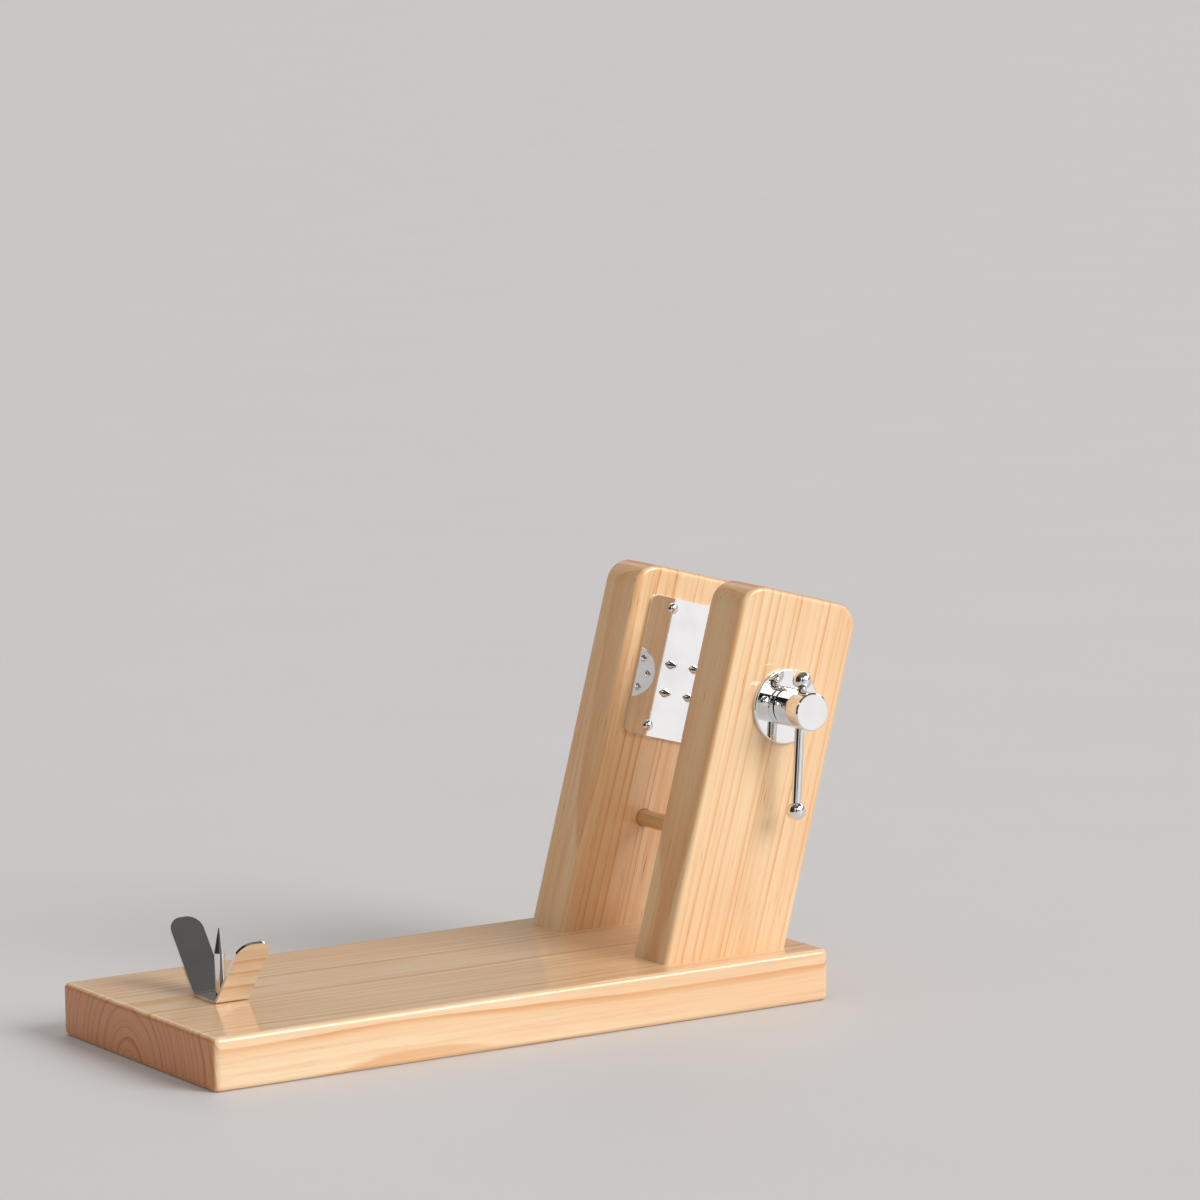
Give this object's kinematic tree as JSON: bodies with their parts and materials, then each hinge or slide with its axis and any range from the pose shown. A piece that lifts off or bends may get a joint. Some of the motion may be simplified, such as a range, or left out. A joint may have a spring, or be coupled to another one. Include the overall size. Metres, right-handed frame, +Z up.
{
  "type": "ham holder stand",
  "caption": "Wooden ham holder stand: base board with a toe cradle and spike, two leaning uprights, and a clamp screw with tommy bar that grips the shank between them.",
  "frame": {"origin": "centre of the base board's underside", "axes": "+X along the board from the toe cradle towards the uprights, +Y from the clamp side to the far side, +Z up"},
  "size_m": [0.4322, 0.1915, 0.2407],
  "materials": {
    "pine_board": "gloss varnish",
    "pine_uprights": "gloss varnish",
    "rod_wood": "gloss varnish",
    "dowel_wood": "bare",
    "zinc_steel": "zinc plated",
    "spring_steel": "satin",
    "chrome": "polished"
  },
  "bodies": {
    "stand": {"base_board": "pine_board", "front_upright": "pine_uprights", "rear_upright": "pine_uprights", "cross_rod": "rod_wood", "front_upright_dowel": "dowel_wood", "rear_upright_dowel": "dowel_wood", "front_upright_screws": "zinc_steel", "rear_upright_screws": "zinc_steel", "clamp_flange_nut": "chrome", "clamp_flange_screws": "chrome", "fixed_jaw_plate": "chrome", "fixed_jaw_studs": "chrome", "fixed_jaw_screws": "chrome", "toe_cradle": "chrome", "toe_spike": "chrome", "toe_cradle_screws": "zinc_steel"},
    "jaw": {"swivel_jaw": "chrome", "jaw_spring_ring": "spring_steel"},
    "screw": {"clamp_spindle": "chrome", "spindle_head": "chrome"},
    "bar": {"tommy_bar": "chrome", "tommy_ball_upper": "chrome", "tommy_ball_lower": "chrome"}
  },
  "joints": [
    {"name": "jaw_slide", "type": "slide", "parent": "stand", "child": "jaw", "axis": [0, -1, 0], "range_m": [0, 0.01575]},
    {"name": "spindle_turn", "type": "hinge", "parent": "jaw", "child": "screw", "pos_m": [0.18264, -0.078, 0.17076], "axis": [0, -1, 0], "range_deg": [0, 1890]},
    {"name": "tommy_slide", "type": "slide", "parent": "screw", "child": "bar", "axis": [0.0698, 0, 0.9976], "range_m": [0, 0.0414]}
  ],
  "couplings": [
    {"joint": "jaw_slide", "follows": "spindle_turn", "m_per_rad": 0.00047746}
  ]
}
